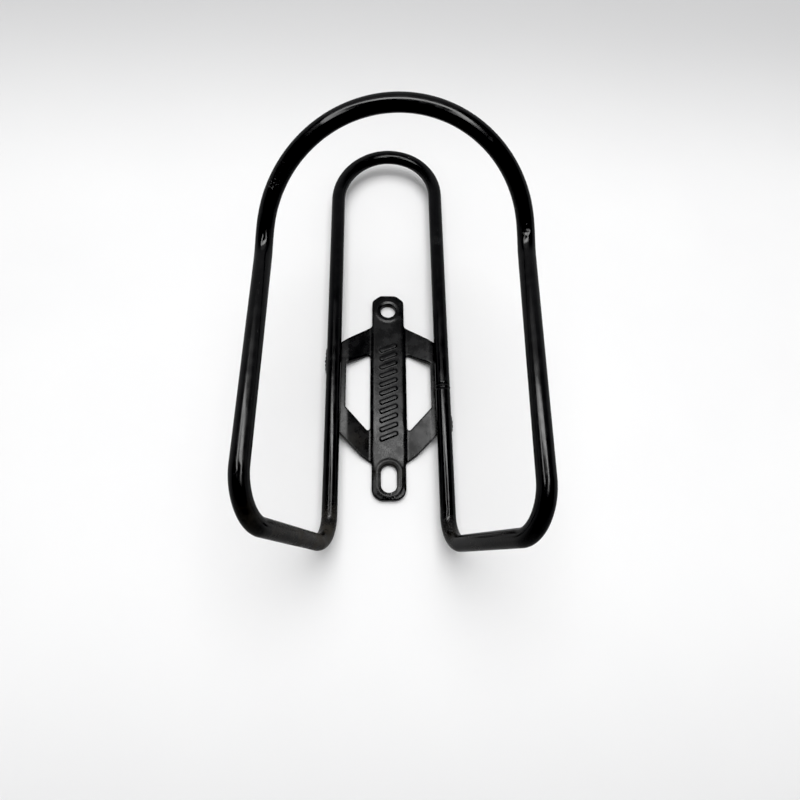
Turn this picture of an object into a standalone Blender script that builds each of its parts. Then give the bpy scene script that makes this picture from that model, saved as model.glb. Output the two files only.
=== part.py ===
"""Water bottle cage: one bent alloy rod with a pressed mounting bracket welded to its rails.

The cage lies on its back, as it is bolted to a bicycle tube.  +Y points to the mouth that
the bottle slides in by, +Z away from the bicycle, +X sideways.  The origin is on the flat
back of the bracket, midway between its two screw holes.
"""
import math

import bmesh
import bpy
from mathutils import Matrix, Vector

MM = 0.001

# Rod and its welds
ROD_RADIUS = 2.55
GAP = 0.30                          # clearance kept between pieces that the weld joins
ROD_BEVEL_RESOLUTION = 6
BEND_STEP_DEG = 10.0

# Back loop: two parallel rails and a round arch, level with the bracket
RAIL_HALF_SPACING = 19.0
RAIL_MIDDLE_X = -0.3                # the welded rod sits this far off the screw holes' line
RAIL_Z = 7.1
BACK_ARCH_TOP_Y = 100.45
BACK_ARCH_START_Y = {"left": 78.2, "right": 81.8}
BACK_ARCH_LEAN_X = 1.2              # the top of the arch leans this far to +X
FOOT_Y = -54.5                      # where the rails turn up into the struts
FOOT_BEND_RADIUS = 10.0

# Front loop: (x, y, z) of each sharp corner before it is bent round; the real rod is a
# little uneven from side to side, because it is bent by hand over a peg
FRONT_CORNER = {"left": (-37.7, -56.2, 62.6), "right": (34.2, -60.0, 63.2)}
FRONT_BEND_RADIUS = 11.5
KINK = {"left": (-37.7, 25.4, 52.3), "right": (37.4, 25.1, 57.2)}
KINK_BLEND = 6.5                    # length of rod that each kink takes on either side
FRONT_ARCH_TOP = (-0.6, 49.6, 81.0)
FRONT_ARCH_DROP = 2.2               # the arch's centre lies this far below the kinks

# Butt joint of the rod, on the right-hand rail
SEAM_Y = -0.9
SEAM_WIDTH = 0.6
SEAM_PROUD = 0.15
SEAM_EDGE = 0.12

# Bracket, pressed from plate
PLATE = 2.4
BOLT_SPACING = 64.0
HOLE_RADIUS = 2.75
HOLE_SIDES = 32
RIM_FLARE = 0.65
SLOT_LENGTH = 9.6
PAD_HALF_WIDTH = 5.85
UPPER_END = 38.4
LOWER_END = -39.4
STRAP_FLAT_X = 5.2                  # half width of the strap's flat top
CREASE_X = 6.5                      # fold line between the strap and the arms
CREASE_Z = 1.75
SHELF_X = 14.4                      # the arms level out here, under the rails
SHELF_Z = RAIL_Z - ROD_RADIUS - GAP
LIP_ANGLE_DEG = 30.0                # the plate curls round the outside of the rail to here
WINDOW_CORNERS = ((6.45, 14.3), (15.1, 10.0), (15.1, -6.9), (6.45, -16.0))
WINDOW_FILLET = 0.8
PRISM_HALF_LENGTH = 50.0
CUTTER_HALF_DEPTH = 20.0

# Fillet welds on the outer edge of the bracket: side, middle y, length, radius
BEADS = {
    "weld_upper_left": (-1, 9.8, 12.4, 0.70),
    "weld_lower_left": (-1, -7.4, 7.6, 0.50),
    "weld_upper_right": (1, 5.6, 16.0, 0.55),
    "weld_lower_right": (1, -13.4, 8.2, 0.75),
}
BEAD_RIPPLE = 0.10                  # the bead's radius swells and narrows by this share
BEAD_RIPPLE_PITCH = 2.4
BEAD_END_SHARE = 0.45               # radius of a bead's tip, as a share of its middle
BEAD_STEPS = 16


def clear_scene():
    for old in list(bpy.data.objects):
        bpy.data.objects.remove(old, do_unlink=True)


def new_collection(name):
    group = bpy.data.collections.new(name)
    bpy.context.scene.collection.children.link(group)
    return group


def paint(name, colour, roughness, metallic):
    material = bpy.data.materials.new(name)
    material.use_nodes = True
    shader = material.node_tree.nodes["Principled BSDF"]
    shader.inputs["Base Color"].default_value = (*colour, 1.0)
    shader.inputs["Roughness"].default_value = roughness
    shader.inputs["Metallic"].default_value = metallic
    return material


# ---------------------------------------------------------------- outlines and paths

def fillet(before, corner, after, radius, step_deg=BEND_STEP_DEG):
    """Points of the arc of this radius that rounds a corner, in the plane of its two legs."""
    before, corner, after = Vector(before), Vector(corner), Vector(after)
    leg_in = (before - corner).normalized()
    leg_out = (after - corner).normalized()
    turn = math.pi - leg_in.angle(leg_out)
    reach = radius * math.tan(turn / 2)
    centre = corner + (leg_in + leg_out).normalized() * (radius / math.cos(turn / 2))
    start = corner + leg_in * reach - centre
    axis = leg_out.cross(leg_in).normalized()
    steps = max(2, math.ceil(math.degrees(turn) / step_deg))
    return [centre + Matrix.Rotation(turn * i / steps, 3, axis) @ start for i in range(steps + 1)]


def rounded_outline(corners, step_deg=15.0):
    """Closed flat outline through (x, y, radius) corners; radius 0 keeps a corner sharp."""
    points = []
    for index, (x, y, radius) in enumerate(corners):
        before = (*corners[index - 1][:2], 0)
        after = (*corners[(index + 1) % len(corners)][:2], 0)
        if radius:
            points += fillet(before, (x, y, 0), after, radius, step_deg)
        else:
            points.append(Vector((x, y, 0)))
    return points


def flipped(half):
    """The mirror image at -X of a half outline, in the order that goes on round from it."""
    return [(-x, y, radius) for x, y, radius in reversed(half)]


def smooth_blend(start, start_way, end, end_way, steps):
    """Points of a Bezier stretch that leaves and arrives along the given ways."""
    reach = (end - start).length * 0.38
    a, b, c, d = start, start + start_way * reach, end - end_way * reach, end
    points = []
    for i in range(steps + 1):
        t = i / steps
        s = 1 - t
        points.append(a * s**3 + b * (3 * s * s * t) + c * (3 * s * t * t) + d * t**3)
    return points


def rail_x(side):
    """Middle of the right-hand rail (side 1) or the left-hand one (side -1)."""
    return RAIL_MIDDLE_X + side * RAIL_HALF_SPACING


def back_arch():
    """Round arch that joins the two rails, from right to left."""
    points = []
    steps = 20
    for i in range(steps + 1):
        angle = math.pi * i / steps
        start_y = BACK_ARCH_START_Y["right" if i < steps / 2 else "left"]
        x = RAIL_MIDDLE_X + RAIL_HALF_SPACING * math.cos(angle)
        x += BACK_ARCH_LEAN_X * math.sin(angle) ** 2
        y = start_y + (BACK_ARCH_TOP_Y - start_y) * math.sin(angle)
        points.append(Vector((x, y, RAIL_Z)))
    return points


def front_arch_point(angle):
    """Point of the front arch; angle 0 is its left end and pi its right end."""
    left, right = Vector(KINK["left"]), Vector(KINK["right"])
    middle = (left + right) / 2
    rise = Vector(FRONT_ARCH_TOP) - middle
    drop = rise.normalized() * FRONT_ARCH_DROP
    centre = middle - drop
    return centre + (left - right) / 2 * math.cos(angle) + (rise + drop) * math.sin(angle)


def front_arch():
    """The front loop's arch with the kink at either end, from left to right."""
    half_width = (Vector(KINK["right"]) - Vector(KINK["left"])).length / 2
    first = (FRONT_ARCH_DROP + KINK_BLEND) / half_width
    steps = 24
    angles = [first + (math.pi - 2 * first) * i / steps for i in range(steps + 1)]
    crown = [front_arch_point(angle) for angle in angles]
    nudge = 0.001
    leave = (front_arch_point(first + nudge) - front_arch_point(first)).normalized()
    arrive = (front_arch_point(math.pi - first) - front_arch_point(math.pi - first - nudge)).normalized()
    rail_in = (Vector(KINK["left"]) - Vector(FRONT_CORNER["left"])).normalized()
    rail_out = (Vector(FRONT_CORNER["right"]) - Vector(KINK["right"])).normalized()
    kink_in = smooth_blend(Vector(KINK["left"]) - rail_in * KINK_BLEND, rail_in, crown[0], leave, 6)
    kink_out = smooth_blend(crown[-1], arrive, Vector(KINK["right"]) + rail_out * KINK_BLEND, rail_out, 6)
    return kink_in[:-1] + crown + kink_out[1:]


def rod_path():
    """Centre line of the whole rod, from one face of its butt joint round to the other."""
    foot = {"right": (rail_x(1), FOOT_Y, RAIL_Z), "left": (rail_x(-1), FOOT_Y, RAIL_Z)}
    seam_half = SEAM_WIDTH / 2 + GAP
    start = Vector((rail_x(1), SEAM_Y + seam_half, RAIL_Z))
    end = Vector((rail_x(1), SEAM_Y - seam_half, RAIL_Z))
    path = [start] + back_arch()
    path += fillet(path[-1], foot["left"], FRONT_CORNER["left"], FOOT_BEND_RADIUS)
    path += fillet(foot["left"], FRONT_CORNER["left"], KINK["left"], FRONT_BEND_RADIUS)
    path += front_arch()
    path += fillet(KINK["right"], FRONT_CORNER["right"], foot["right"], FRONT_BEND_RADIUS)
    path += fillet(FRONT_CORNER["right"], foot["right"], end, FOOT_BEND_RADIUS)
    return path + [end]


# ---------------------------------------------------------------- Blender objects

def curve_object(name, dimensions, group):
    curve = bpy.data.curves.new(name, "CURVE")
    curve.dimensions = dimensions
    thing = bpy.data.objects.new(name, curve)
    group.objects.link(thing)
    return thing


def add_spline(curve, points, closed, radii=None):
    spline = curve.splines.new("POLY")
    spline.points.add(len(points) - 1)
    for index, point in enumerate(points):
        spline.points[index].co = (*(Vector(point) * MM), 1)
        spline.points[index].radius = radii[index] if radii else 1.0
    spline.use_cyclic_u = closed


def round_bar(name, points, radius, resolution, group, radii=None):
    bar = curve_object(name, "3D", group)
    add_spline(bar.data, points, False, radii)
    bar.data.bevel_depth = radius * MM
    bar.data.bevel_resolution = resolution
    bar.data.use_fill_caps = True
    return bar


def as_mesh(thing):
    """Replace a curve object with the mesh it evaluates to, so that it can be cut."""
    bpy.context.view_layer.update()
    evaluated = thing.evaluated_get(bpy.context.evaluated_depsgraph_get())
    mesh = bpy.data.meshes.new_from_object(evaluated)
    shape = bmesh.new()
    shape.from_mesh(mesh)
    bmesh.ops.remove_doubles(shape, verts=shape.verts, dist=0.000001)
    bmesh.ops.recalc_face_normals(shape, faces=shape.faces)
    shape.to_mesh(mesh)
    shape.free()
    name, place, group = thing.name, thing.matrix_world.copy(), thing.users_collection[0]
    bpy.data.objects.remove(thing, do_unlink=True)
    solid = bpy.data.objects.new(name, mesh)
    solid.matrix_world = place
    group.objects.link(solid)
    return solid


def prism(name, outline, half_depth, group):
    """A flat outline drawn in X and Y, thickened by half_depth both ways along Z."""
    flat = curve_object(name, "2D", group)
    add_spline(flat.data, outline, True)
    flat.data.fill_mode = "BOTH"
    flat.data.extrude = half_depth * MM
    return flat


def as_cutter(thing):
    thing.hide_render = True
    thing.display_type = "WIRE"
    return thing


def boolean(target, tool, operation):
    cut = target.modifiers.new(tool.name, "BOOLEAN")
    cut.operation = operation
    cut.object = tool
    cut.solver = "EXACT"


def slot_cutter(name, centre_y, half_run, radii, heights, group):
    """A straight or flared hole through the plate: a cone pulled half_run long each way."""
    shape = bmesh.new()
    bmesh.ops.create_cone(shape, cap_ends=True, segments=HOLE_SIDES, radius1=radii[0] * MM,
                          radius2=radii[1] * MM, depth=(heights[1] - heights[0]) * MM,
                          matrix=Matrix.Rotation(math.pi / HOLE_SIDES, 4, "Z"))
    for corner in shape.verts:
        corner.co.y += math.copysign(half_run, corner.co.y) * MM
    mesh = bpy.data.meshes.new(name)
    shape.to_mesh(mesh)
    shape.free()
    cutter = bpy.data.objects.new(name, mesh)
    cutter.location = Vector((0, centre_y, sum(heights) / 2)) * MM
    group.objects.link(cutter)
    return as_cutter(cutter)


def shade_smooth(thing, sharp_deg=35.0):
    thing.data.shade_smooth()
    thing.data.set_sharp_from_angle(angle=math.radians(sharp_deg))


# ---------------------------------------------------------------- the pieces

def make_rod(group, material):
    rod = round_bar("rod_loop", rod_path(), ROD_RADIUS, ROD_BEVEL_RESOLUTION, group)
    rod = as_mesh(rod)
    shade_smooth(rod)
    rod.data.materials.append(material)
    return rod


def make_seam_weld(group, material):
    bpy.ops.mesh.primitive_cylinder_add(
        vertices=32, radius=(ROD_RADIUS + SEAM_PROUD) * MM, depth=SEAM_WIDTH * MM,
        location=Vector((rail_x(1), SEAM_Y, RAIL_Z)) * MM, rotation=(math.pi / 2, 0, 0))
    weld = bpy.context.object
    weld.name = "seam_weld"
    weld.users_collection[0].objects.unlink(weld)
    group.objects.link(weld)
    shade_smooth(weld)
    edge = weld.modifiers.new("soft_rim", "BEVEL")
    edge.width = SEAM_EDGE * MM
    edge.segments = 2
    weld.data.materials.append(material)
    return weld


def bead_radius_share(along):
    """Radius of a weld bead at a share of its length, relative to its middle."""
    dome = math.sqrt(max(0.0, 1 - (2 * along - 1) ** 2))
    return BEAD_END_SHARE + (1 - BEAD_END_SHARE) * dome


def make_bead(name, side, middle_y, length, radius, group, material):
    """Fillet weld in the corner between the rail's outer side and the bracket's lip."""
    off_axis = ROD_RADIUS + GAP + radius
    half_angle = math.asin(radius / off_axis)
    gap_angle = GAP / off_axis
    angle = math.radians(LIP_ANGLE_DEG) + gap_angle + half_angle
    x = rail_x(side) + side * off_axis * math.sin(angle)
    z = RAIL_Z - off_axis * math.cos(angle)
    points, radii = [], []
    for i in range(BEAD_STEPS + 1):
        along = i / BEAD_STEPS
        ripple = 1 - BEAD_RIPPLE * math.sin(math.pi * along * length / BEAD_RIPPLE_PITCH) ** 2
        points.append((x, middle_y + (along - 0.5) * length, z))
        radii.append(bead_radius_share(along) * ripple)
    bead = as_mesh(round_bar(name, points, radius, 3, group, radii))
    shade_smooth(bead)
    bead.data.materials.append(material)
    return bead


def section_half(rail):
    """Cross-section of the plate at +X, from the strap's top round the lip to its back."""
    inner, outer = ROD_RADIUS + GAP, ROD_RADIUS + GAP + PLATE
    half = [(STRAP_FLAT_X, PLATE, 1.5), (CREASE_X, CREASE_Z, 0.6), (SHELF_X, SHELF_Z, 3.0)]
    for radius, shares in ((inner, (0, 0.5, 1)), (outer, (1, 0.5, 0))):
        for share in shares:
            angle = math.radians(LIP_ANGLE_DEG) * share
            half.append((rail + radius * math.sin(angle), RAIL_Z - radius * math.cos(angle), 0))
    return half + [(SHELF_X + 0.8, RAIL_Z - outer, 3.0), (CREASE_X + 0.5, 0, 3.0)]


def section_outline():
    """Cross-section of the pressed plate, in X and Z, one closed outline."""
    return rounded_outline(section_half(rail_x(1)) + flipped(section_half(-rail_x(-1))))


def plan_outline():
    """Outline of the bracket seen from the front, one closed outline."""
    half = [
        (3.0, UPPER_END, 3.0), (PAD_HALF_WIDTH, UPPER_END - 2.4, 1.6),
        (PAD_HALF_WIDTH, 25.5, 1.2), (22.2, 14.2, 1.5),
        (22.2, -16.3, 1.5), (17.4, -16.4, 2.0), (9.5, -24.2, 6.0),
        (PAD_HALF_WIDTH, -26.7, 1.5), (PAD_HALF_WIDTH, LOWER_END, 4.0),
    ]
    return rounded_outline(half + flipped(half))


def make_bracket(group, cutters, material):
    section = as_mesh(prism("mounting_bracket", section_outline(), PRISM_HALF_LENGTH, group))
    section.data.transform(Matrix.Rotation(math.pi / 2, 4, "X"))
    plan = as_cutter(as_mesh(prism("cut_plan", plan_outline(), CUTTER_HALF_DEPTH, cutters)))
    boolean(section, plan, "INTERSECT")
    for side in (-1, 1):
        corners = [(side * x, y, WINDOW_FILLET) for x, y in WINDOW_CORNERS]
        window = prism("cut_window", rounded_outline(corners), CUTTER_HALF_DEPTH, cutters)
        boolean(section, as_cutter(as_mesh(window)), "DIFFERENCE")
    bore = (HOLE_RADIUS, HOLE_RADIUS)
    flare = (HOLE_RADIUS - RIM_FLARE * 0.5, HOLE_RADIUS + RIM_FLARE * 1.5)
    through = (-CUTTER_HALF_DEPTH, CUTTER_HALF_DEPTH)
    rim = (PLATE - RIM_FLARE * 1.5, PLATE + RIM_FLARE * 0.5)
    slot_half = SLOT_LENGTH / 2 - HOLE_RADIUS
    for centre_y, half_run in ((BOLT_SPACING / 2, 0.0), (-BOLT_SPACING / 2, slot_half)):
        hole = slot_cutter("cut_hole", centre_y, half_run, bore, through, cutters)
        boolean(section, hole, "DIFFERENCE")
        mouth = slot_cutter("cut_rim", centre_y, half_run, flare, rim, cutters)
        boolean(section, mouth, "DIFFERENCE")
    section.data.materials.append(material)
    return section


def build():
    clear_scene()
    cage = new_collection("water_bottle_cage")
    cutters = new_collection("cutters")
    black = paint("gloss_black_paint", (0.012, 0.012, 0.013), 0.22, 0.0)
    weld_black = paint("painted_weld", (0.014, 0.014, 0.015), 0.35, 0.0)
    make_rod(cage, black)
    make_seam_weld(cage, weld_black)
    for name, (side, middle_y, length, radius) in BEADS.items():
        make_bead(name, side, middle_y, length, radius, cage, weld_black)
    make_bracket(cage, cutters, black)


build()
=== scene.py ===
"""Looks of the water bottle cage: a bent rod, a pressed bracket and their welds, all under
one worn coat of gloss black paint.

Sizes are in millimetres, in the frame of the CAD: the cage lies on its back on the floor,
+Y to the mouth, +Z up to the camera, the origin on the back of the bracket between its
two screw holes.
"""
import math

import bmesh
import bpy
import numpy as np
from mathutils import Matrix, Vector, noise


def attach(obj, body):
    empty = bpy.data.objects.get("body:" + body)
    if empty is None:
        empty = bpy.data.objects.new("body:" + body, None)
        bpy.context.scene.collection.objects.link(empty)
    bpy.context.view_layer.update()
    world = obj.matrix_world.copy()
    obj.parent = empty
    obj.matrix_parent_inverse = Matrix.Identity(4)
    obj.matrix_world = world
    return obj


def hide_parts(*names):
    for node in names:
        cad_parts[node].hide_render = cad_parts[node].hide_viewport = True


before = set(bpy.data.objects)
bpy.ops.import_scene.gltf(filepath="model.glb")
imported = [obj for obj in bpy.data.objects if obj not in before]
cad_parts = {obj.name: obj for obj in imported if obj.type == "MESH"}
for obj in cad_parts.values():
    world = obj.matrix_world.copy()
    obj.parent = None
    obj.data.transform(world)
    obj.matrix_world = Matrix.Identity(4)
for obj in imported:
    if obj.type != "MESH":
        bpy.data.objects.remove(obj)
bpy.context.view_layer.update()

MM = 0.001

# ---------------------------------------------------------------- sizes from the CAD
ROD_RADIUS = 2.55
GAP = 0.30
RAIL_HALF_SPACING = 19.0
RAIL_MIDDLE_X = -0.3
RAIL_Z = 7.1
BACK_ARCH_TOP_Y = 100.45
BACK_ARCH_START_Y = {"left": 78.2, "right": 81.8}
BACK_ARCH_LEAN_X = 1.2
FOOT_Y = -54.5
FOOT_BEND_RADIUS = 10.0
FRONT_CORNER = {"left": (-37.7, -56.2, 62.6), "right": (34.2, -60.0, 63.2)}
FRONT_BEND_RADIUS = 11.5
KINK = {"left": (-37.7, 25.4, 52.3), "right": (37.4, 25.1, 57.2)}
KINK_BLEND = 6.5
BLEND_REACH = 0.38                 # pull of a blend's end directions, as a share of its length
FRONT_ARCH_TOP = (-0.6, 49.6, 81.0)
FRONT_ARCH_DROP = 2.2
SEAM_Y = -0.9
SEAM_HALF_GAP = 0.6

PLATE = 2.4
HOLE_Y = 32.0
HOLE_RADIUS = 2.75
SLOT_HALF_RUN = 2.05
STRAP_FLAT_X = 5.2
CREASE_X, CREASE_Z = 6.5, 1.75
SHELF_X = 14.4
SHELF_Z = RAIL_Z - ROD_RADIUS - GAP
LIP_ANGLE_DEG = 30.0
PLAN_HALF = (
    (3.0, 38.4, 3.0), (5.85, 36.0, 1.6), (5.85, 25.5, 1.2), (22.2, 14.2, 1.5),
    (22.2, -16.3, 1.5), (17.4, -16.4, 2.0), (9.5, -24.2, 6.0),
    (5.85, -26.7, 1.5), (5.85, -39.4, 4.0),
)
WINDOW_CORNERS = ((6.45, 14.3), (15.1, 10.0), (15.1, -6.9), (6.45, -16.0))
WINDOW_FILLET = 0.8
BEADS = {                          # side, middle y, length, radius
    "weld_upper_left": (-1, 9.8, 12.4, 0.70),
    "weld_lower_left": (-1, -7.4, 7.6, 0.50),
    "weld_upper_right": (1, 5.6, 16.0, 0.55),
    "weld_lower_right": (1, -13.4, 8.2, 0.75),
}

# ---------------------------------------------------------------- how fine
FINE_STEP_DEG = 4.0
BACK_ARCH_STEPS = 80
FRONT_ARCH_STEPS = 120
KINK_STEPS = 24
ROD_STEP = 0.9
DENT_STEP = 0.25
ROD_SIDES = 64
BEAD_STEP = 0.15
BEAD_SIDES = 24
SEAM_SIDES = 72
HOLE_SIDES = 72
LIP_STEPS = 8
VOXEL = 0.22
BRACKET_SMOOTHING = 5
SMALLEST_GAP = 0.01                # points of a path closer than this are one point

# ---------------------------------------------------------------- how it was made and used
ROD_INSET = 0.005                  # the drawn rod is thinner than the CAD's by this and its wave
ROD_WAVE = 0.012                   # the drawn rod is not quite even
WAVE_PER_MM = 0.07
DENTS = (                          # peening marks: place, radius, stretch, depth, rim
    ((-36.0, 29.8, 60.6), 0.85, 1.4, 0.16, 0.045),
    ((36.7, 25.2, 61.35), 0.85, 1.4, 0.16, 0.045),
)
DENT_REACH = 4.0
DENT_RIM_AT, DENT_RIM_WIDTH = 1.45, 0.3      # in radii of the dent
NICKS = (                          # small knocks in the paint: place, radius, depth
    ((9.28, 98.42, 9.63), 0.5, 0.10),
    ((18.37, 61.28, 9.6), 0.35, 0.08),
    ((18.37, 56.81, 9.6), 0.4, 0.08),
    ((17.44, -43.61, 9.29), 0.7, 0.10),
    ((18.0, -50.5, 10.6), 0.9, 0.14),
    ((-17.87, -47.06, 9.38), 0.8, 0.10),
)
NICK_RAGGED, NICK_RAGGED_PER_MM = 0.6, 2.3
BEAD_RIPPLE_PITCH = 1.5
BEAD_RIPPLE = 0.16
BEAD_WANDER, BEAD_WANDER_PER_MM = 0.10, 1.7
BEAD_LUMP, BEAD_LUMP_PER_MM = 0.22, 0.55
BEAD_TIP = 0.15                    # share of its thickness that a bead keeps at its ends
BEAD_END = 0.45                    # its ends stop short of the CAD's by this many radii
BEAD_BITE = 0.22                   # a drawn bead is this much fuller than the CAD's,
BEAD_TUCK = 0.2                    # and this much deeper in its corner, so that it joins
SEAM_PROFILE = (                   # run along the rod, radius
    (-0.75, 2.515), (-0.62, 2.535), (-0.26, 2.545), (-0.13, 2.63), (0.0, 2.67),
    (0.13, 2.63), (0.26, 2.545), (0.62, 2.535), (0.75, 2.515),
)
SEAM_RAGGED, SEAM_RAGGED_SCALE = 0.03, 2.6
SEAM_SHIFT, SEAM_SHIFT_SCALE = 0.12, 1.3

RELIEF_Y = (-17.2, 16.4)           # run of the raised grip bars along the strap
RELIEF_BARS = 11
RELIEF_HALF_WIDTH = 2.3
RELIEF_SLANT = 0.42
RELIEF_RADIUS = 0.62
RELIEF_HEIGHT = 0.38
RELIEF_EDGE = 0.35
FACING_UP = (0.35, 0.8)            # the press moves a face more, the further up it looks
PRESSED_ABOVE_Z = 0.6 * PLATE
RIM_ROLL = 0.22                    # the pressed holes have a softly raised rim
RIM_ROLL_OUT = 1.35
RIM_ROLL_WIDTH = 0.65
STRAP_WAVE = 0.16                  # the lower strap is a little lumpy from the press
STRAP_WAVE_PER_MM = (0.22, 0.16)
STRAP_WAVE_SLICE = 3.1             # which slice of the noise the lumps are read from
STRAP_WAVE_Y = (2.0, -20.0)        # where the lumps begin, and where they are full
STRAP_EDGE_OUT, STRAP_EDGE_IN = 0.4, 0.8     # the pressing fades out over this margin
SECTION_HALF_RUN = 50.0            # blanks and cutters reach well past the plate
CUTTER_HALF_DEPTH = 20.0


# ---------------------------------------------------------------- outlines and paths

def fillet(before, corner, after, radius):
    """Points of the arc of this radius that rounds a corner, in the plane of its two legs."""
    before, corner, after = Vector(before), Vector(corner), Vector(after)
    leg_in = (before - corner).normalized()
    leg_out = (after - corner).normalized()
    turn = math.pi - leg_in.angle(leg_out)
    reach = radius * math.tan(turn / 2)
    centre = corner + (leg_in + leg_out).normalized() * (radius / math.cos(turn / 2))
    start = corner + leg_in * reach - centre
    axis = leg_out.cross(leg_in).normalized()
    steps = max(2, math.ceil(math.degrees(turn) / FINE_STEP_DEG))
    return [centre + Matrix.Rotation(turn * i / steps, 3, axis) @ start for i in range(steps + 1)]


def rounded_outline(corners):
    """Closed flat outline through (x, y, radius) corners; radius 0 keeps a corner sharp."""
    points = []
    for index, (x, y, radius) in enumerate(corners):
        before = (*corners[index - 1][:2], 0)
        after = (*corners[(index + 1) % len(corners)][:2], 0)
        if radius:
            points += fillet(before, (x, y, 0), after, radius)
        else:
            points.append(Vector((x, y, 0)))
    return points


def flipped(half):
    """The mirror image at -X of a half outline, in the order that goes on round from it."""
    return [(-x, y, radius) for x, y, radius in reversed(half)]


def smooth_blend(start, start_way, end, end_way):
    """Points of a Bezier stretch that leaves and arrives along the given ways."""
    reach = (end - start).length * BLEND_REACH
    a, b, c, d = start, start + start_way * reach, end - end_way * reach, end
    points = []
    for i in range(KINK_STEPS + 1):
        t = i / KINK_STEPS
        s = 1 - t
        points.append(a * s**3 + b * (3 * s * s * t) + c * (3 * s * t * t) + d * t**3)
    return points


def rail_x(side):
    """Middle of the right-hand rail (side 1) or the left-hand one (side -1)."""
    return RAIL_MIDDLE_X + side * RAIL_HALF_SPACING


def back_arch():
    """Round arch that joins the two rails, from right to left."""
    points = []
    for i in range(BACK_ARCH_STEPS + 1):
        angle = math.pi * i / BACK_ARCH_STEPS
        start_y = BACK_ARCH_START_Y["right" if i < BACK_ARCH_STEPS / 2 else "left"]
        x = RAIL_MIDDLE_X + RAIL_HALF_SPACING * math.cos(angle)
        x += BACK_ARCH_LEAN_X * math.sin(angle) ** 2
        y = start_y + (BACK_ARCH_TOP_Y - start_y) * math.sin(angle)
        points.append(Vector((x, y, RAIL_Z)))
    return points


def front_arch_point(angle):
    """Point of the front arch; angle 0 is its left end and pi its right end."""
    left, right = Vector(KINK["left"]), Vector(KINK["right"])
    middle = (left + right) / 2
    rise = Vector(FRONT_ARCH_TOP) - middle
    drop = rise.normalized() * FRONT_ARCH_DROP
    centre = middle - drop
    return centre + (left - right) / 2 * math.cos(angle) + (rise + drop) * math.sin(angle)


def front_arch():
    """The front loop's arch with the kink at either end, from left to right."""
    left, right = Vector(KINK["left"]), Vector(KINK["right"])
    first = (FRONT_ARCH_DROP + KINK_BLEND) / ((right - left).length / 2)
    steps = range(FRONT_ARCH_STEPS + 1)
    angles = [first + (math.pi - 2 * first) * i / FRONT_ARCH_STEPS for i in steps]
    crown = [front_arch_point(angle) for angle in angles]
    nudge = 0.001
    leave = (front_arch_point(first + nudge) - crown[0]).normalized()
    arrive = (crown[-1] - front_arch_point(math.pi - first - nudge)).normalized()
    rail_in = (left - Vector(FRONT_CORNER["left"])).normalized()
    rail_out = (Vector(FRONT_CORNER["right"]) - right).normalized()
    kink_in = smooth_blend(left - rail_in * KINK_BLEND, rail_in, crown[0], leave)
    kink_out = smooth_blend(crown[-1], arrive, right + rail_out * KINK_BLEND, rail_out)
    return kink_in[:-1] + crown + kink_out[1:]


def rod_path():
    """Centre line of the whole rod, from one face of its butt joint round to the other."""
    foot = {"right": (rail_x(1), FOOT_Y, RAIL_Z), "left": (rail_x(-1), FOOT_Y, RAIL_Z)}
    start = Vector((rail_x(1), SEAM_Y + SEAM_HALF_GAP, RAIL_Z))
    end = Vector((rail_x(1), SEAM_Y - SEAM_HALF_GAP, RAIL_Z))
    path = [start] + back_arch()
    path += fillet(path[-1], foot["left"], FRONT_CORNER["left"], FOOT_BEND_RADIUS)
    path += fillet(foot["left"], FRONT_CORNER["left"], KINK["left"], FRONT_BEND_RADIUS)
    path += front_arch()
    path += fillet(KINK["right"], FRONT_CORNER["right"], foot["right"], FRONT_BEND_RADIUS)
    path += fillet(FRONT_CORNER["right"], foot["right"], end, FOOT_BEND_RADIUS)
    return path + [end]


def resampled(points, step_at):
    """The same line with no gap between its points longer than step_at says there."""
    dense = [points[0]]
    for after in points[1:]:
        before = dense[-1]
        gap = (after - before).length
        if gap < SMALLEST_GAP:
            continue
        count = math.ceil(gap / step_at((before + after) / 2))
        dense += [before.lerp(after, i / count) for i in range(1, count + 1)]
    return dense


# ---------------------------------------------------------------- mesh code

def piece(name, mesh, material, slot, *nodes):
    """A finished piece that stands for these CAD nodes."""
    thing = bpy.data.objects.new(name, mesh)
    bpy.context.scene.collection.objects.link(thing)
    mesh.materials.clear()
    mesh.materials.append(material)
    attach(thing, "root")
    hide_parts(*nodes)


def finished_mesh(name, shape):
    mesh = bpy.data.meshes.new(name)
    shape.to_mesh(mesh)
    shape.free()
    mesh.shade_smooth()
    return mesh


def carried_frames(points):
    """Two directions across the line at each of its points, turned as little as possible."""
    ways = [(b - a).normalized() for a, b in zip(points, points[1:])]
    tangents = [ways[0]] + [(a + b).normalized() for a, b in zip(ways, ways[1:])] + [ways[-1]]
    across = tangents[0].orthogonal().normalized()
    frames = []
    for before, tangent in zip([tangents[0]] + tangents, tangents):
        across = before.rotation_difference(tangent) @ across
        across = (across - tangent * across.dot(tangent)).normalized()
        frames.append((across, tangent.cross(across)))
    return frames


def swept(name, points, sides, radius_at):
    """A closed round bar along points; radius_at(place along, point, outward) is its radius."""
    shape = bmesh.new()
    rings = []
    for index, (point, (across, up)) in enumerate(zip(points, carried_frames(points))):
        along = index / (len(points) - 1)
        ring = []
        for k in range(sides):
            angle = 2 * math.pi * k / sides
            outward = across * math.cos(angle) + up * math.sin(angle)
            place = point + outward * radius_at(along, point, outward)
            ring.append(shape.verts.new(place * MM))
        rings.append(ring)
    for ring, after in zip(rings, rings[1:]):
        for k in range(sides):
            m = (k + 1) % sides
            shape.faces.new((ring[k], ring[m], after[m], after[k]))
    shape.faces.new(reversed(rings[0]))
    shape.faces.new(rings[-1])
    return finished_mesh(name, shape)


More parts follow.
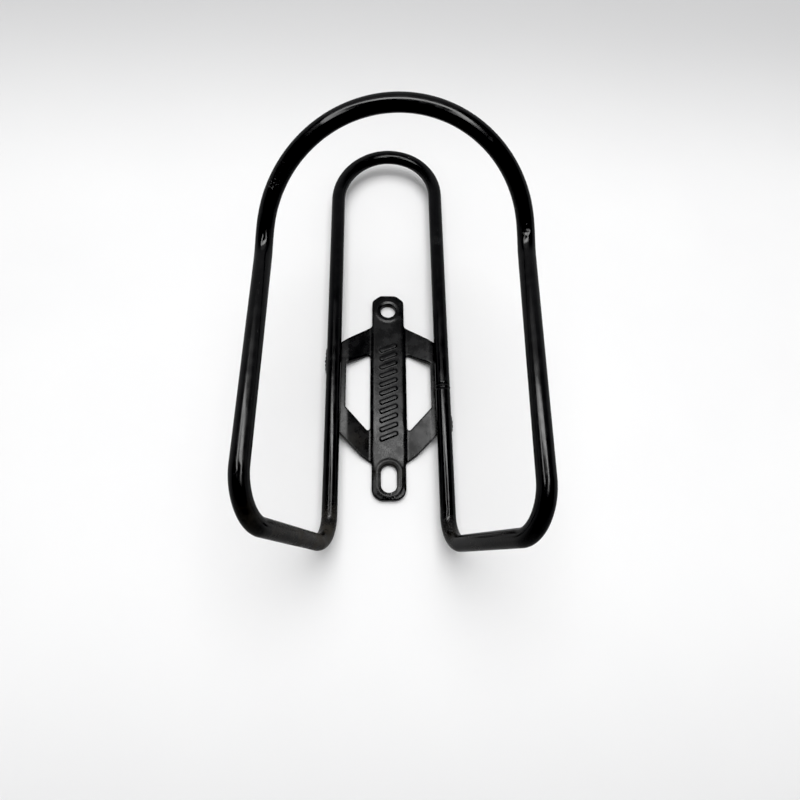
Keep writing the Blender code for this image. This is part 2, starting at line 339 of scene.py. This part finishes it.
def dent_depth(place):
    """How far the skin of the rod is pushed in (or up, at a dent's rim) at a place on it."""
    depth = 0.0
    for middle, radius, stretch, deep, rim in DENTS:
        apart = place - Vector(middle)
        apart.y /= stretch
        away = apart.length / radius
        off_rim = (away - DENT_RIM_AT) / DENT_RIM_WIDTH
        depth += deep * math.exp(-away**4) - rim * math.exp(-off_rim**2)
    for middle, radius, deep in NICKS:
        away = (place - Vector(middle)).length / radius
        ragged = 1 + NICK_RAGGED * noise.noise(place * NICK_RAGGED_PER_MM)
        depth += deep * ragged * math.exp(-away**2)
    return depth


def make_rod(material):
    marks = [Vector(dent[0]) for dent in DENTS]

    def step_at(point):
        near = min((point - mark).length for mark in marks)
        return DENT_STEP if near < DENT_REACH + ROD_RADIUS else ROD_STEP

    def radius_at(along, point, outward):
        wave = noise.noise((point + outward) * WAVE_PER_MM) * ROD_WAVE
        skin = ROD_RADIUS - ROD_INSET - ROD_WAVE + wave
        return skin - dent_depth(point + outward * ROD_RADIUS)

    mesh = swept("rod_loop_painted", resampled(rod_path(), step_at), ROD_SIDES, radius_at)
    add_wear(mesh, ROD_DUST, ROD_SCUFFS, ROD_CHIPS)
    piece("rod_loop_painted", mesh, material, "painted_rod", "rod_loop")


def make_seam(material):
    """The raised ring of weld round the rod's butt joint, with a ragged crest."""
    shape = bmesh.new()
    centre = Vector((rail_x(1), SEAM_Y, RAIL_Z))
    rings = []
    for run, radius in SEAM_PROFILE:
        ring = []
        for k in range(SEAM_SIDES):
            angle = 2 * math.pi * k / SEAM_SIDES
            outward = Vector((math.cos(angle), 0, math.sin(angle)))
            ragged = noise.noise(outward * SEAM_RAGGED_SCALE + Vector((0, run, 0)))
            skin = radius + SEAM_RAGGED * ragged if radius > ROD_RADIUS else radius
            sway = SEAM_SHIFT * noise.noise(outward * SEAM_SHIFT_SCALE)
            shift = Vector((0, run + sway, 0))
            ring.append(shape.verts.new((centre + outward * skin + shift) * MM))
        rings.append(ring)
    for ring, after in zip(rings, rings[1:]):
        for k in range(SEAM_SIDES):
            m = (k + 1) % SEAM_SIDES
            shape.faces.new((ring[m], ring[k], after[k], after[m]))
    shape.faces.new(rings[0])
    shape.faces.new(reversed(rings[-1]))
    mesh = finished_mesh("seam_weld_ring", shape)
    add_wear(mesh)
    piece("seam_weld_ring", mesh, material, "painted_weld", "seam_weld")


def make_bead(node, material):
    """A fillet weld laid in overlapping drops between the rail's side and the lip."""
    side, middle_y, length, radius = BEADS[node]
    off_axis = ROD_RADIUS + GAP + radius
    angle = math.radians(LIP_ANGLE_DEG) + math.asin(radius / off_axis)
    angle += (GAP - BEAD_TUCK) / off_axis
    x = rail_x(side) + side * (off_axis - BEAD_TUCK) * math.sin(angle)
    z = RAIL_Z - (off_axis - BEAD_TUCK) * math.cos(angle)
    thick = radius + BEAD_BITE
    run = Vector((0, length / 2 - radius * BEAD_END, 0))
    middle = Vector((x, middle_y, z))

    def radius_at(along, point, outward):
        dome = math.sqrt(max(0.0, 1 - (2 * along - 1) ** 2))
        drop = abs(math.sin(math.pi * point.y / BEAD_RIPPLE_PITCH))
        own = Vector((side * 7.0, point.y * BEAD_LUMP_PER_MM, middle_y))
        lump = 1 + BEAD_LUMP * noise.noise(own)
        wander = BEAD_WANDER * noise.noise(point * BEAD_WANDER_PER_MM + outward * 0.8)
        body = thick * (BEAD_TIP + (1 - BEAD_TIP) * dome)
        return body * (lump - BEAD_RIPPLE * (1 - drop)) + wander * dome

    points = resampled([middle - run, middle + run], lambda point: BEAD_STEP)
    mesh = swept(node + "_bead", points, BEAD_SIDES, radius_at)
    add_wear(mesh)
    piece(node + "_bead", mesh, material, "painted_weld", node)


# ---------------------------------------------------------------- the pressed bracket

def prism(name, outline, reach=CUTTER_HALF_DEPTH):
    """A flat outline drawn in X and Y, as a solid that reaches this far up and down Z."""
    shape = bmesh.new()
    bottom = [shape.verts.new((x * MM, y * MM, -reach * MM)) for x, y, _ in outline]
    top = [shape.verts.new((x * MM, y * MM, reach * MM)) for x, y, _ in outline]
    for i in range(len(outline)):
        m = (i + 1) % len(outline)
        shape.faces.new((bottom[i], bottom[m], top[m], top[i]))
    shape.faces.new(bottom)
    shape.faces.new(top)
    bmesh.ops.recalc_face_normals(shape, faces=shape.faces)
    return helper(name, shape)


def helper(name, shape):
    """A building block that is removed again before the end."""
    mesh = bpy.data.meshes.new(name)
    shape.to_mesh(mesh)
    shape.free()
    thing = bpy.data.objects.new(name, mesh)
    bpy.context.scene.collection.objects.link(thing)
    return thing


def section_outline():
    """Cross-section of the pressed plate, in X and Z."""
    inner, outer = ROD_RADIUS + GAP, ROD_RADIUS + GAP + PLATE
    shares = [i / LIP_STEPS for i in range(LIP_STEPS + 1)]

    def half(side):
        middle = rail_x(side) * side
        out = [(STRAP_FLAT_X, PLATE, 1.5), (CREASE_X, CREASE_Z, 0.6), (SHELF_X, SHELF_Z, 3.0)]
        for radius, lip in ((inner, shares), (outer, shares[::-1])):
            for share in lip:
                angle = math.radians(LIP_ANGLE_DEG) * share
                out.append((middle + radius * math.sin(angle),
                            RAIL_Z - radius * math.cos(angle), 0))
        return out + [(SHELF_X + 0.8, RAIL_Z - outer, 3.0), (CREASE_X + 0.5, 0, 3.0)]

    return rounded_outline(half(1) + flipped(half(-1)))


def hole_outline(centre_y, half_run):
    """A round hole, or a slot where half_run pulls its two halves apart along Y."""
    outline = []
    for k in range(HOLE_SIDES):
        angle = 2 * math.pi * (k + 0.5) / HOLE_SIDES
        y = centre_y + HOLE_RADIUS * math.sin(angle) + math.copysign(half_run, math.sin(angle))
        outline.append((HOLE_RADIUS * math.cos(angle), y, 0))
    return outline


def combine(target, tool, operation):
    """Apply one boolean and remove its tool."""
    cut = target.modifiers.new(tool.name, "BOOLEAN")
    cut.operation, cut.object, cut.solver = operation, tool, "EXACT"
    apply_modifiers(target)
    bpy.data.objects.remove(tool, do_unlink=True)


def apply_modifiers(thing):
    """Give the object the mesh that its modifiers make of it."""
    bpy.context.view_layer.update()
    evaluated = thing.evaluated_get(bpy.context.evaluated_depsgraph_get())
    mesh = bpy.data.meshes.new_from_object(evaluated)
    thing.modifiers.clear()
    thing.data = mesh


def smooth_step(low, high, value):
    share = min(1.0, max(0.0, (value - low) / (high - low)))
    return share * share * (3 - 2 * share)


def relief_height(x, y):
    """Height of the raised, slanted grip bars over the strap's flat top."""
    low, high = RELIEF_Y
    pitch = (high - low) / (RELIEF_BARS - 1)
    best = math.inf
    for bar in range(RELIEF_BARS):
        middle = low + pitch * bar
        along = max(-RELIEF_HALF_WIDTH, min(RELIEF_HALF_WIDTH, x))
        best = min(best, math.hypot(x - along, y - middle - along * RELIEF_SLANT))
    return RELIEF_HEIGHT * (1 - smooth_step(RELIEF_RADIUS, RELIEF_RADIUS + RELIEF_EDGE, best))


def rim_height(x, y):
    """The soft roll that the press leaves round the hole and the slot."""
    height = 0.0
    for centre_y, half_run in ((HOLE_Y, 0.0), (-HOLE_Y, SLOT_HALF_RUN)):
        along = max(-half_run, min(half_run, y - centre_y))
        away = math.hypot(x, y - centre_y - along) - HOLE_RADIUS - RIM_ROLL_OUT
        height += RIM_ROLL * math.exp(-(away / RIM_ROLL_WIDTH) ** 2)
    return height


def press_height(x, y):
    """How far the strap's top stands above, or below, a flat plate."""
    outside = STRAP_FLAT_X + STRAP_EDGE_OUT
    if abs(x) > outside:
        return 0.0
    per_x, per_y = STRAP_WAVE_PER_MM
    lumps = noise.noise(Vector((x * per_x, y * per_y, STRAP_WAVE_SLICE))) * STRAP_WAVE
    lumps *= smooth_step(*STRAP_WAVE_Y, y)
    edge = smooth_step(outside, STRAP_FLAT_X - STRAP_EDGE_IN, abs(x))
    return (relief_height(x, y) + lumps) * edge + rim_height(x, y)


def press(mesh):
    """Move the top of the plate by press_height; numpy, as the mesh has many points."""
    count = len(mesh.vertices)
    places, normals = np.empty(count * 3), np.empty(count * 3)
    mesh.vertices.foreach_get("co", places)
    mesh.vertex_normals.foreach_get("vector", normals)
    places, upward = places.reshape(-1, 3) / MM, normals.reshape(-1, 3)[:, 2]
    for index in np.flatnonzero((upward > FACING_UP[0]) & (places[:, 2] > PRESSED_ABOVE_Z)):
        facing = smooth_step(*FACING_UP, upward[index])
        places[index, 2] += press_height(*places[index, :2]) * facing
    places[:, 2] = np.maximum(places[:, 2], 0.0)
    mesh.vertices.foreach_set("co", (places * MM).ravel())


def make_bracket(material):
    """The pressed plate, as cut, then softened all over as thick paint leaves it."""
    plate = prism("bracket_painted", section_outline(), SECTION_HALF_RUN)
    plate.data.transform(Matrix.Rotation(math.pi / 2, 4, "X"))
    plan = rounded_outline(list(PLAN_HALF) + flipped(PLAN_HALF))
    combine(plate, prism("plan", plan), "INTERSECT")
    for side in (-1, 1):
        corners = [(side * x, y, WINDOW_FILLET) for x, y in WINDOW_CORNERS]
        combine(plate, prism("window", rounded_outline(corners)), "DIFFERENCE")
    for centre_y, half_run in ((HOLE_Y, 0.0), (-HOLE_Y, SLOT_HALF_RUN)):
        combine(plate, prism("bore", hole_outline(centre_y, half_run)), "DIFFERENCE")
    grain = plate.modifiers.new("grain", "REMESH")
    grain.mode, grain.voxel_size = "VOXEL", VOXEL * MM
    soft = plate.modifiers.new("soft", "SMOOTH")
    soft.factor, soft.iterations = 0.5, BRACKET_SMOOTHING
    apply_modifiers(plate)
    mesh = plate.data
    bpy.data.objects.remove(plate, do_unlink=True)
    press(mesh)
    mesh.shade_smooth()
    mesh.name = "bracket_painted"
    add_wear(mesh, BRACKET_DUST, BRACKET_SCUFFS, BRACKET_CHIPS)
    piece("bracket_painted", mesh, material, "painted_bracket", "mounting_bracket")


# ---------------------------------------------------------------- wear, kept per vertex

WEAR_FALLOFF = 1.6
# Each spot: place, how far it spreads, how strong.
ROD_DUST = (
    ((-29.5, -55.0, 46.0), 8.0, 0.45), ((-25.5, -55.5, 33.0), 8.0, 0.8),
    ((-22.0, -55.5, 20.0), 9.0, 1.0), ((-19.0, -54.0, 11.0), 7.0, 1.0),
    ((-19.0, -47.0, 7.1), 5.0, 0.5), ((-34.0, -54.0, 58.0), 7.0, 0.15),
    ((19.3, -54.5, 12.0), 7.0, 0.25), ((23.0, -58.5, 28.0), 10.0, 0.18),
    ((28.0, -59.8, 45.0), 8.0, 0.15),
)
ROD_SCUFFS = (
    ((-34.0, 34.6, 66.0), 3.4, 0.7), ((-31.6, 37.6, 69.2), 2.6, 0.5),
    ((18.0, -47.0, 9.3), 5.0, 0.9), ((18.6, -53.5, 12.0), 4.5, 1.0),
    ((-19.0, -44.0, 9.3), 6.0, 0.8), ((-18.5, -52.0, 10.5), 5.0, 0.8),
)
ROD_CHIPS = (
    ((-34.0, 34.6, 66.0), 2.6, 0.5), ((18.37, 59.0, 9.6), 3.0, 0.7),
    ((9.28, 98.42, 9.63), 1.2, 0.8), ((18.2, -51.0, 10.6), 2.2, 0.9),
)
BRACKET_DUST = (((0.0, -30.0, 2.4), 6.0, 0.25), ((-12.0, -19.0, 3.0), 5.0, 0.2))
BRACKET_SCUFFS = (((0.0, -22.0, 2.4), 8.0, 0.9), ((0.0, -36.0, 2.4), 5.0, 1.0))
BRACKET_CHIPS = (((0.6, -37.0, 2.4), 2.4, 1.0), ((0.0, 28.5, 2.4), 1.6, 0.5))


def add_wear(mesh, dust=(), scuffs=(), chips=()):
    """Vertex attributes, 0 to 1, that the paint reads: where dust, scuffs and chips lie."""
    places = np.empty(len(mesh.vertices) * 3)
    mesh.vertices.foreach_get("co", places)
    places = places.reshape(-1, 3) / MM
    for name, spots in (("dust", dust), ("scuff", scuffs), ("chip", chips)):
        layer = mesh.attributes.new(name, "FLOAT", "POINT")
        values = np.zeros(len(places))
        for place, spread, strength in spots:
            away = np.linalg.norm(places - np.array(place), axis=1) / spread
            values = np.maximum(values, strength * np.exp(-WEAR_FALLOFF * away**2))
        layer.data.foreach_set("value", values)


# ---------------------------------------------------------------- materials

PAINT_DARK, PAINT_LIGHT = (0.0025, 0.0025, 0.0027, 1), (0.0045, 0.0045, 0.0048, 1)
SCRATCH_TONE, SCUFF_TONE = (0.06, 0.06, 0.062, 1), (0.05, 0.05, 0.05, 1)
SOIL_DARK, SOIL_LIGHT = (0.034, 0.030, 0.023, 1), (0.085, 0.074, 0.057, 1)
CHIP_TONE = (0.22, 0.22, 0.22, 1)
PAINT_SPECULAR = 0.3
ROUGHNESS_SPREAD = 0.10            # how much rougher the dullest paint is than the glossiest
ROUGHEST = 0.85


class Tree:
    """Short ways to add nodes; an input given as a socket is linked, else it is set."""

    def __init__(self, owner):
        owner.use_nodes = True
        self.nodes, self.links = owner.node_tree.nodes, owner.node_tree.links
        self.nodes.clear()

    def add(self, kind, inputs=None, output=0, **settings):
        made = self.nodes.new(kind)
        for name, value in settings.items():
            setattr(made, name, value)
        for name, value in (inputs or {}).items():
            self.put(made.inputs[name], value)
        return made.outputs[output] if made.outputs else made

    def put(self, socket, value):
        if isinstance(value, bpy.types.NodeSocket):
            self.links.new(value, socket)
        else:
            socket.default_value = value

    def math(self, operation, first, second=0.0):
        return self.add("ShaderNodeMath", {0: first, 1: second}, operation=operation)

    def step(self, value, low, high, floor=0.0, top=1.0):
        """A smooth rise from floor to top as value goes from low to high."""
        inputs = {"Value": value, "From Min": low, "From Max": high,
                  "To Min": floor, "To Max": top}
        return self.add("ShaderNodeMapRange", inputs, interpolation_type="SMOOTHSTEP")

    def mix(self, share, first, second):
        inputs = {0: share, 6: first, 7: second}
        return self.add("ShaderNodeMix", inputs, output=2, data_type="RGBA")

    def noise(self, place, per_mm, detail=2.0, stretch=None):
        """Noise with about per_mm waves to the millimetre."""
        scale = [1000.0 * per_mm * s for s in (stretch or (1, 1, 1))]
        vector = self.add("ShaderNodeVectorMath", {0: place, 1: scale}, operation="MULTIPLY")
        inputs = {"Vector": vector, "Scale": 1.0, "Detail": detail, "Roughness": 0.55}
        return self.add("ShaderNodeTexNoise", inputs)

    def axis(self, vector, letter):
        """One of the three parts of a vector."""
        return self.add("ShaderNodeSeparateXYZ", {0: vector}, output="XYZ".index(letter))

    def bump(self, height, distance_mm, strength, under=None):
        inputs = {"Height": height, "Distance": distance_mm * MM, "Strength": strength}
        if under:
            inputs["Normal"] = under
        return self.add("ShaderNodeBump", inputs)


def gloss_paint(name, peel, gloss, grime):
    """Old gloss black paint: orange peel, hair scratches, dust, scuffs and bare chips."""
    material = bpy.data.materials.new(name)
    tree = Tree(material)
    place = tree.add("ShaderNodeTexCoord", output=3)
    dust_at = tree.add("ShaderNodeAttribute", output=2, attribute_name="dust")
    scuff_at = tree.add("ShaderNodeAttribute", output=2, attribute_name="scuff")
    chip_at = tree.add("ShaderNodeAttribute", output=2, attribute_name="chip")

    mottle = tree.noise(place, 0.25, 4.0)
    peel_wave = tree.noise(place, 0.55, 1.0)
    grain = tree.noise(place, 2.2, 3.0)
    hair = tree.noise(place, 1.0, 2.0, stretch=(4.0, 0.25, 4.0))
    cross_hair = tree.noise(place, 1.0, 2.0, stretch=(0.5, 5.0, 0.5))
    blotch = tree.noise(place, 0.45, 5.0)

    scratch = tree.math("MAXIMUM", tree.step(hair, 0.70, 0.78), tree.step(cross_hair, 0.72, 0.80))
    scuffed = tree.math("MULTIPLY", scuff_at, tree.step(grain, 0.50, 0.66))
    dusty = tree.math("MULTIPLY", dust_at, tree.step(blotch, 0.30, 0.64))
    film = tree.math("MULTIPLY", tree.step(mottle, 0.45, 0.75), grime)
    chipped = tree.step(tree.math("MULTIPLY", chip_at, tree.step(grain, 0.58, 0.64)), 0.25, 0.4)

    colour = tree.mix(tree.step(mottle, 0.3, 0.7), PAINT_DARK, PAINT_LIGHT)
    colour = tree.mix(tree.math("MULTIPLY", scratch, 0.25), colour, SCRATCH_TONE)
    colour = tree.mix(tree.math("MULTIPLY", scuffed, 0.4), colour, SCUFF_TONE)
    soil = tree.mix(grain, SOIL_DARK, SOIL_LIGHT)
    colour = tree.mix(tree.math("MULTIPLY", dusty, 0.7), colour, soil)
    colour = tree.mix(chipped, colour, CHIP_TONE)

    rough = tree.step(mottle, 0.3, 0.7, gloss, gloss + ROUGHNESS_SPREAD)
    rough = tree.math("ADD", rough, tree.math("MULTIPLY", film, 0.15))
    rough = tree.math("ADD", rough, tree.math("MULTIPLY", scratch, 0.12))
    rough = tree.math("ADD", rough, tree.math("MULTIPLY", scuffed, 0.25))
    rough = tree.math("ADD", rough, tree.math("MULTIPLY", dusty, 0.45))
    rough = tree.math("MINIMUM", rough, ROUGHEST)

    skin = tree.bump(peel_wave, 0.05, peel)
    skin = tree.bump(scratch, -0.01, 0.35, skin)
    skin = tree.bump(tree.math("MULTIPLY", dusty, grain), 0.03, 0.4, skin)
    skin = tree.bump(chipped, -0.05, 0.6, skin)

    shader = tree.add("ShaderNodeBsdfPrincipled", {
        "Base Color": colour, "Roughness": rough, "Normal": skin,
        "Metallic": tree.math("MULTIPLY", chipped, 0.8),
        "Specular IOR Level": PAINT_SPECULAR,
    })
    tree.add("ShaderNodeOutputMaterial", {"Surface": shader})
    return material


def pale_floor():
    """A nearly white sheet with painted shade: it greys a little to the back and to the front,
    where less light falls.
    """
    material = bpy.data.materials.new("pale_floor")
    tree = Tree(material)
    place = tree.add("ShaderNodeTexCoord", output=3)
    fleck = tree.noise(place, 0.02, 4.0)
    colour = tree.mix(fleck, *FLOOR_TONES)
    along = tree.axis(place, "Y")
    back = tree.step(along, FLOOR_BACK_SHADE[0] * MM, FLOOR_BACK_SHADE[1] * MM)
    front = tree.step(along, FLOOR_FRONT_SHADE[1] * MM, FLOOR_FRONT_SHADE[0] * MM, 1.0, 0.0)
    # painted shade: the floor's colour greys towards the back and the front, where less light
    # falls
    colour = tree.mix(tree.math("MAXIMUM", back, front), colour, FLOOR_SHADE_GREY)
    shader = tree.add("ShaderNodeBsdfPrincipled", {
        "Base Color": colour, "Roughness": tree.step(fleck, 0.3, 0.7, 0.75, 0.9),
        "Normal": tree.bump(tree.noise(place, 1.5, 3.0), 0.02, 0.2),
        "Specular IOR Level": 0.2,
    })
    tree.add("ShaderNodeOutputMaterial", {"Surface": shader})
    return material


# ---------------------------------------------------------------- stage, lights, camera

FLOOR_HALF = 4000.0
FLOOR_TONES = (0.86, 0.86, 0.865, 1), (0.90, 0.90, 0.90, 1)
# Painted shade: the grey that the floor's colour fades to at the back and the front.
FLOOR_SHADE_GREY = (0.62, 0.62, 0.625, 1)
FLOOR_BACK_SHADE, FLOOR_FRONT_SHADE = (80.0, 220.0), (-50.0, -220.0)   # Y from which, and to which, the painted shade greys it
CAMERA_PLACE = (-8.87, -80.17, 199.39)
CAMERA_PITCH, CAMERA_YAW, CAMERA_ROLL = 21.198, -3.496, -0.538
CAMERA_LENS, CAMERA_SENSOR = 27.0, 36.0
CAMERA_CLIP = (0.01, 50.0)

KEY_STRENGTH, KEY_SPREAD_DEG, KEY_TILT_DEG = 1.85, 44.0, 15.0
SOFT_TOP_HEIGHT, SOFT_TOP_WIDTH, SOFT_TOP_WATTS = 360.0, 260.0, 0.35

# Lights seen only as reflections: a bright horseshoe over the cage.
# Each: place, width, length, turn about Z in degrees, strength.
HORSESHOE_HEIGHT = 207.0
HORSESHOE = (
    ((-95.0, 62.0), 34.0, 60.0, 12.0, 0.9),
    ((-76.0, 8.0), 26.0, 62.0, 24.0, 0.9),
    ((-62.0, 68.0), 60.0, 26.0, -20.0, 1.0),
    ((-12.0, 50.0), 62.0, 34.0, -16.0, 1.3),
    ((36.0, 36.0), 50.0, 34.0, -14.0, 1.2),
    ((56.0, 0.0), 24.0, 60.0, -8.0, 1.2),
    ((42.0, -46.0), 18.0, 52.0, -20.0, 0.9),
    ((-50.0, 105.0), 130.0, 60.0, -10.0, 0.06),
    ((20.0, 85.0), 90.0, 50.0, -10.0, 0.05),
)
HORSESHOE_POWER = 9.0              # strength 1 is pi times this many watts to the square metre

ROOM_DARK, ROOM_GLOW = (0.014, 0.014, 0.014, 1), (0.42, 0.42, 0.43, 1)
WALLS_FRONT, WALLS_BACK = (0.15, 0.15, 0.15, 1), (0.34, 0.34, 0.345, 1)
ROOM_FILL = (0.36, 0.36, 0.36, 1)            # what diffuse rays see of the room
BACKDROP = (0.70, 0.70, 0.705, 1)            # what the camera sees of it
BLACK_LEVEL = 0.007                # deepens the darkest tones, as in a contrasty picture


def make_floor():
    shape = bmesh.new()
    bmesh.ops.create_grid(shape, x_segments=40, y_segments=40, size=FLOOR_HALF * MM)
    floor = helper("studio_floor", shape)
    floor.data.materials.append(pale_floor())
    floor.visible_glossy = False


def area_light(name, place, turn_deg, width, length, watts, gloss):
    """A light that faces down, turned about Z, for gloss alone or for diffuse alone."""
    lamp = bpy.data.lights.new(name, "AREA")
    lamp.shape = "RECTANGLE"
    lamp.size, lamp.size_y = width * MM, length * MM
    lamp.energy = watts
    thing = bpy.data.objects.new(name, lamp)
    thing.matrix_world = (Matrix.Translation(Vector(place) * MM)
                          @ Matrix.Rotation(math.radians(turn_deg), 4, "Z"))
    thing.visible_camera = False
    thing.visible_glossy = gloss
    thing.visible_diffuse = not gloss
    bpy.context.scene.collection.objects.link(thing)


def make_lights():
    for index, ((x, y), width, length, turn, strength) in enumerate(HORSESHOE):
        watts = HORSESHOE_POWER * strength * width * length * MM * MM * math.pi
        above = (x, y, HORSESHOE_HEIGHT)
        area_light(f"reflected_{index}", above, turn, width, length, watts, gloss=True)
    sun = bpy.data.lights.new("soft_key", "SUN")
    sun.energy, sun.angle = KEY_STRENGTH, math.radians(KEY_SPREAD_DEG)
    key = bpy.data.objects.new("soft_key", sun)
    key.rotation_euler.x = math.radians(-KEY_TILT_DEG)
    key.visible_glossy = False
    bpy.context.scene.collection.objects.link(key)
    area_light("soft_top", (0, 0, SOFT_TOP_HEIGHT), 0.0, SOFT_TOP_WIDTH, SOFT_TOP_WIDTH,
               SOFT_TOP_WATTS, gloss=False)


def make_world():
    """The room round the cage; it shows gloss, diffuse and camera rays different tones."""
    world = bpy.data.worlds.new("studio")
    bpy.context.scene.world = world
    tree = Tree(world)
    way = tree.add("ShaderNodeTexCoord", output=0)
    along, up = tree.axis(way, "Y"), tree.axis(way, "Z")
    room = tree.mix(tree.step(along, 0.12, 0.9), ROOM_DARK, ROOM_GLOW)
    walls = tree.mix(tree.step(along, -0.6, 0.1), WALLS_FRONT, WALLS_BACK)
    room = tree.mix(tree.step(up, 0.62, 0.10), room, walls)
    light_path = tree.nodes.new("ShaderNodeLightPath")
    colour = tree.mix(light_path.outputs["Is Diffuse Ray"], room, ROOM_FILL)
    colour = tree.mix(light_path.outputs["Is Camera Ray"], colour, BACKDROP)
    back = tree.add("ShaderNodeBackground", {"Color": colour, "Strength": 1.0})
    tree.add("ShaderNodeOutputWorld", {"Surface": back})


def make_camera():
    """Camera at the fitted place; pitch, yaw and roll from looking straight down."""
    camera = bpy.data.cameras.new("camera")
    camera.sensor_width, camera.lens = CAMERA_SENSOR, CAMERA_LENS
    camera.clip_start, camera.clip_end = CAMERA_CLIP
    thing = bpy.data.objects.new("camera", camera)
    pitch = Matrix.Rotation(math.radians(CAMERA_PITCH), 4, "X")
    yaw = Matrix.Rotation(math.radians(CAMERA_YAW), 4, "Y")
    roll = Matrix.Rotation(-math.radians(CAMERA_ROLL), 4, "Z")
    thing.matrix_world = Matrix.Translation(Vector(CAMERA_PLACE) * MM) @ pitch @ yaw @ roll
    bpy.context.scene.collection.objects.link(thing)
    bpy.context.scene.camera = thing


def set_view():
    view = bpy.context.scene.view_settings
    view.view_transform = "Standard"
    view.use_curve_mapping = True
    view.curve_mapping.black_level = (BLACK_LEVEL,) * 3
    view.curve_mapping.update()


# ---------------------------------------------------------------- run

rod_paint = gloss_paint("gloss_black_rod", peel=0.14, gloss=0.10, grime=0.2)
bracket_paint = gloss_paint("gloss_black_bracket", peel=0.25, gloss=0.20, grime=0.3)
weld_paint = gloss_paint("gloss_black_weld", peel=0.4, gloss=0.20, grime=0.3)
make_rod(rod_paint)
make_seam(weld_paint)
for node_name in BEADS:
    make_bead(node_name, weld_paint)
make_bracket(bracket_paint)
make_floor()
make_lights()
make_world()
make_camera()
set_view()
